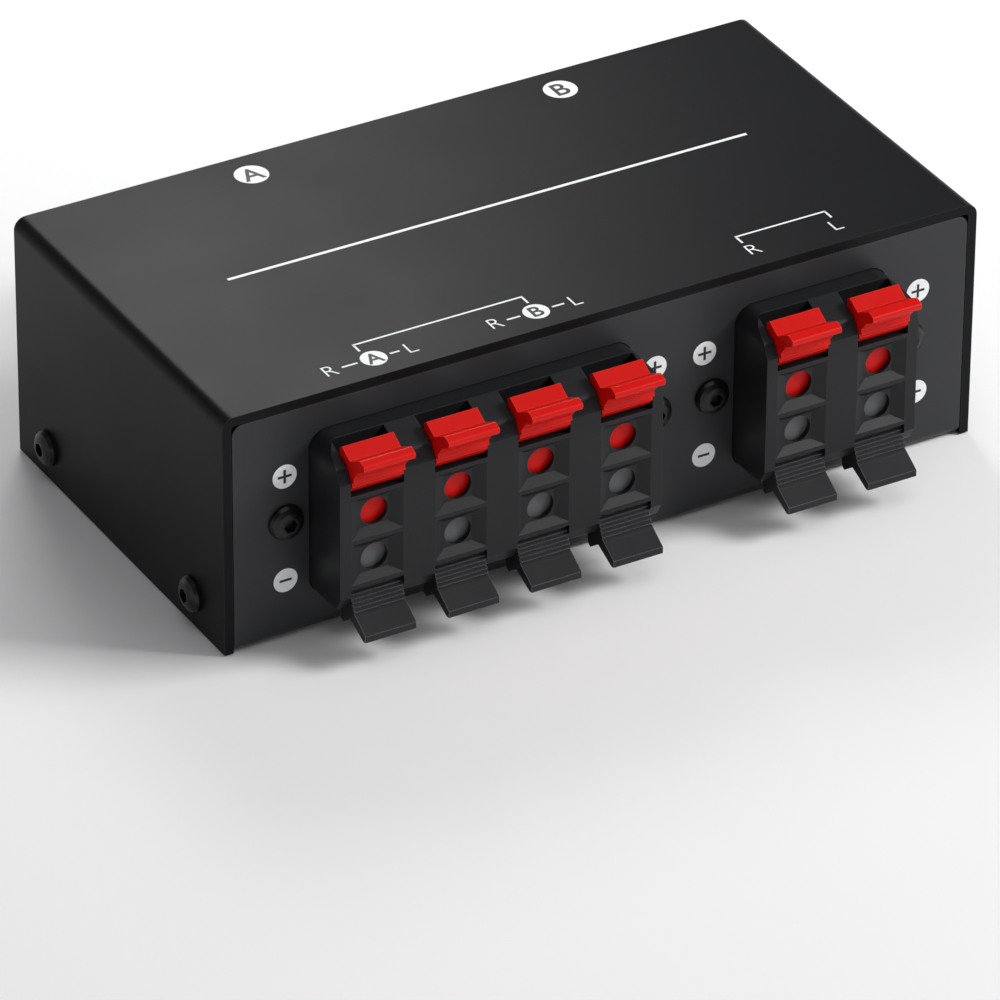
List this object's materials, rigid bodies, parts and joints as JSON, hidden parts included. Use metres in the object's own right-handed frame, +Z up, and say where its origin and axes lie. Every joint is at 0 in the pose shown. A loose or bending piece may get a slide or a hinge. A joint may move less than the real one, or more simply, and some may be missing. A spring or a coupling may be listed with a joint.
{
  "type": "speaker selector switch",
  "caption": "Low black box that switches an amplifier between speaker pairs with bat toggles; sprung lever terminals take bare wires at the rear.",
  "frame": {"origin": "centre of the chassis underside", "axes": "+Z up, +X across the box with the A side at +X, -Y the side with the toggle switches, +Y the side with the wire terminals"},
  "size_m": [0.1324, 0.108, 0.0405],
  "materials": {
    "satin_black_paint": "satin",
    "black_screw": "semi-gloss",
    "zinc_steel": "satin",
    "black_housing": "satin",
    "phenolic_board": "satin",
    "phenolic_case": "satin",
    "tinned_brass": "satin",
    "red_lever": "gloss",
    "black_lever": "satin",
    "nickel": "polished",
    "spring_steel": "polished",
    "red_wire": "satin",
    "black_wire": "satin"
  },
  "bodies": {
    "enclosure": {"chassis": "satin_black_paint", "cover": "satin_black_paint", "cover_screws": "black_screw", "clinch_nuts": "zinc_steel", "terminal_screws": "black_screw", "terminal_nuts": "zinc_steel", "terminal_housing_4way": "black_housing", "terminal_housing_2way": "black_housing", "back_board_4way": "phenolic_board", "back_board_2way": "phenolic_board", "contact_springs_4way": "tinned_brass", "contact_springs_2way": "tinned_brass", "switch_bushing_a": "nickel", "switch_frame_a": "zinc_steel", "switch_case_a": "phenolic_case", "switch_base_a": "phenolic_board", "switch_terminals_a": "tinned_brass", "pivot_pin_a": "zinc_steel", "panel_nut_a": "nickel", "lock_washer_a": "zinc_steel", "back_nut_a": "nickel", "switch_bushing_b": "nickel", "switch_frame_b": "zinc_steel", "switch_case_b": "phenolic_case", "switch_base_b": "phenolic_board", "switch_terminals_b": "tinned_brass", "pivot_pin_b": "zinc_steel", "panel_nut_b": "nickel", "lock_washer_b": "zinc_steel", "back_nut_b": "nickel", "red_wires": "red_wire", "black_wires": "black_wire"},
    "red_lever_a_right": {"red_lever_a_right": "red_lever"},
    "black_lever_a_right": {"black_lever_a_right": "black_lever"},
    "red_lever_a_left": {"red_lever_a_left": "red_lever"},
    "black_lever_a_left": {"black_lever_a_left": "black_lever"},
    "red_lever_b_right": {"red_lever_b_right": "red_lever"},
    "black_lever_b_right": {"black_lever_b_right": "black_lever"},
    "red_lever_b_left": {"red_lever_b_left": "red_lever"},
    "black_lever_b_left": {"black_lever_b_left": "black_lever"},
    "red_lever_input_right": {"red_lever_input_right": "red_lever"},
    "black_lever_input_right": {"black_lever_input_right": "black_lever"},
    "red_lever_input_left": {"red_lever_input_left": "red_lever"},
    "black_lever_input_left": {"black_lever_input_left": "black_lever"},
    "toggle_a": {"toggle_lever_a": "nickel", "plunger_a": "phenolic_case", "plunger_spring_a": "spring_steel"},
    "rocker_a": {"rocker_a": "phenolic_case", "contact_blades_a": "tinned_brass"},
    "toggle_b": {"toggle_lever_b": "nickel", "plunger_b": "phenolic_case", "plunger_spring_b": "spring_steel"},
    "rocker_b": {"rocker_b": "phenolic_case", "contact_blades_b": "tinned_brass"}
  },
  "joints": [
    {"name": "red_lever_a_right_press", "type": "hinge", "parent": "enclosure", "child": "red_lever_a_right", "pos_m": [0.044, 0.0311, 0.0211], "axis": [1, 0, 0], "range_deg": [0, 11], "stiffness_Nm_per_rad": 0.05, "springref_deg": -20.05, "deforming": ["contact_springs_4way"]},
    {"name": "black_lever_a_right_press", "type": "hinge", "parent": "enclosure", "child": "black_lever_a_right", "pos_m": [0.044, 0.0311, 0.0181], "axis": [-1, 0, 0], "range_deg": [0, 11], "stiffness_Nm_per_rad": 0.05, "springref_deg": -20.05, "deforming": ["contact_springs_4way"]},
    {"name": "red_lever_a_left_press", "type": "hinge", "parent": "enclosure", "child": "red_lever_a_left", "pos_m": [0.03, 0.0311, 0.0211], "axis": [1, 0, 0], "range_deg": [0, 11], "stiffness_Nm_per_rad": 0.05, "springref_deg": -20.05, "deforming": ["contact_springs_4way"]},
    {"name": "black_lever_a_left_press", "type": "hinge", "parent": "enclosure", "child": "black_lever_a_left", "pos_m": [0.03, 0.0311, 0.0181], "axis": [-1, 0, 0], "range_deg": [0, 11], "stiffness_Nm_per_rad": 0.05, "springref_deg": -20.05, "deforming": ["contact_springs_4way"]},
    {"name": "red_lever_b_right_press", "type": "hinge", "parent": "enclosure", "child": "red_lever_b_right", "pos_m": [0.016, 0.0311, 0.0211], "axis": [1, 0, 0], "range_deg": [0, 11], "stiffness_Nm_per_rad": 0.05, "springref_deg": -20.05, "deforming": ["contact_springs_4way"]},
    {"name": "black_lever_b_right_press", "type": "hinge", "parent": "enclosure", "child": "black_lever_b_right", "pos_m": [0.016, 0.0311, 0.0181], "axis": [-1, 0, 0], "range_deg": [0, 11], "stiffness_Nm_per_rad": 0.05, "springref_deg": -20.05, "deforming": ["contact_springs_4way"]},
    {"name": "red_lever_b_left_press", "type": "hinge", "parent": "enclosure", "child": "red_lever_b_left", "pos_m": [0.002, 0.0311, 0.0211], "axis": [1, 0, 0], "range_deg": [0, 11], "stiffness_Nm_per_rad": 0.05, "springref_deg": -20.05, "deforming": ["contact_springs_4way"]},
    {"name": "black_lever_b_left_press", "type": "hinge", "parent": "enclosure", "child": "black_lever_b_left", "pos_m": [0.002, 0.0311, 0.0181], "axis": [-1, 0, 0], "range_deg": [0, 11], "stiffness_Nm_per_rad": 0.05, "springref_deg": -20.05, "deforming": ["contact_springs_4way"]},
    {"name": "red_lever_input_right_press", "type": "hinge", "parent": "enclosure", "child": "red_lever_input_right", "pos_m": [-0.0284, 0.0311, 0.0211], "axis": [1, 0, 0], "range_deg": [0, 11], "stiffness_Nm_per_rad": 0.05, "springref_deg": -20.05, "deforming": ["contact_springs_2way"]},
    {"name": "black_lever_input_right_press", "type": "hinge", "parent": "enclosure", "child": "black_lever_input_right", "pos_m": [-0.0284, 0.0311, 0.0181], "axis": [-1, 0, 0], "range_deg": [0, 11], "stiffness_Nm_per_rad": 0.05, "springref_deg": -20.05, "deforming": ["contact_springs_2way"]},
    {"name": "red_lever_input_left_press", "type": "hinge", "parent": "enclosure", "child": "red_lever_input_left", "pos_m": [-0.0424, 0.0311, 0.0211], "axis": [1, 0, 0], "range_deg": [0, 11], "stiffness_Nm_per_rad": 0.05, "springref_deg": -20.05, "deforming": ["contact_springs_2way"]},
    {"name": "black_lever_input_left_press", "type": "hinge", "parent": "enclosure", "child": "black_lever_input_left", "pos_m": [-0.0424, 0.0311, 0.0181], "axis": [-1, 0, 0], "range_deg": [0, 11], "stiffness_Nm_per_rad": 0.05, "springref_deg": -20.05, "deforming": ["contact_springs_2way"]},
    {"name": "toggle_a_throw", "type": "hinge", "parent": "enclosure", "child": "toggle_a", "pos_m": [0.0261, -0.0371, 0.0202], "axis": [0, 0, 1], "range_deg": [0, 30]},
    {"name": "rocker_a_tip", "type": "hinge", "parent": "enclosure", "child": "rocker_a", "pos_m": [0.0261, -0.0151, 0.0202], "axis": [0, 0, -1], "range_deg": [0, 16]},
    {"name": "toggle_b_throw", "type": "hinge", "parent": "enclosure", "child": "toggle_b", "pos_m": [-0.0261, -0.0371, 0.0202], "axis": [0, 0, 1], "range_deg": [0, 30]},
    {"name": "rocker_b_tip", "type": "hinge", "parent": "enclosure", "child": "rocker_b", "pos_m": [-0.0261, -0.0151, 0.0202], "axis": [0, 0, -1], "range_deg": [0, 16]}
  ],
  "couplings": [
    {"joint": "rocker_a_tip", "follows": "toggle_a_throw", "ratio": 0.53333},
    {"joint": "rocker_b_tip", "follows": "toggle_b_throw", "ratio": 0.53333}
  ]
}
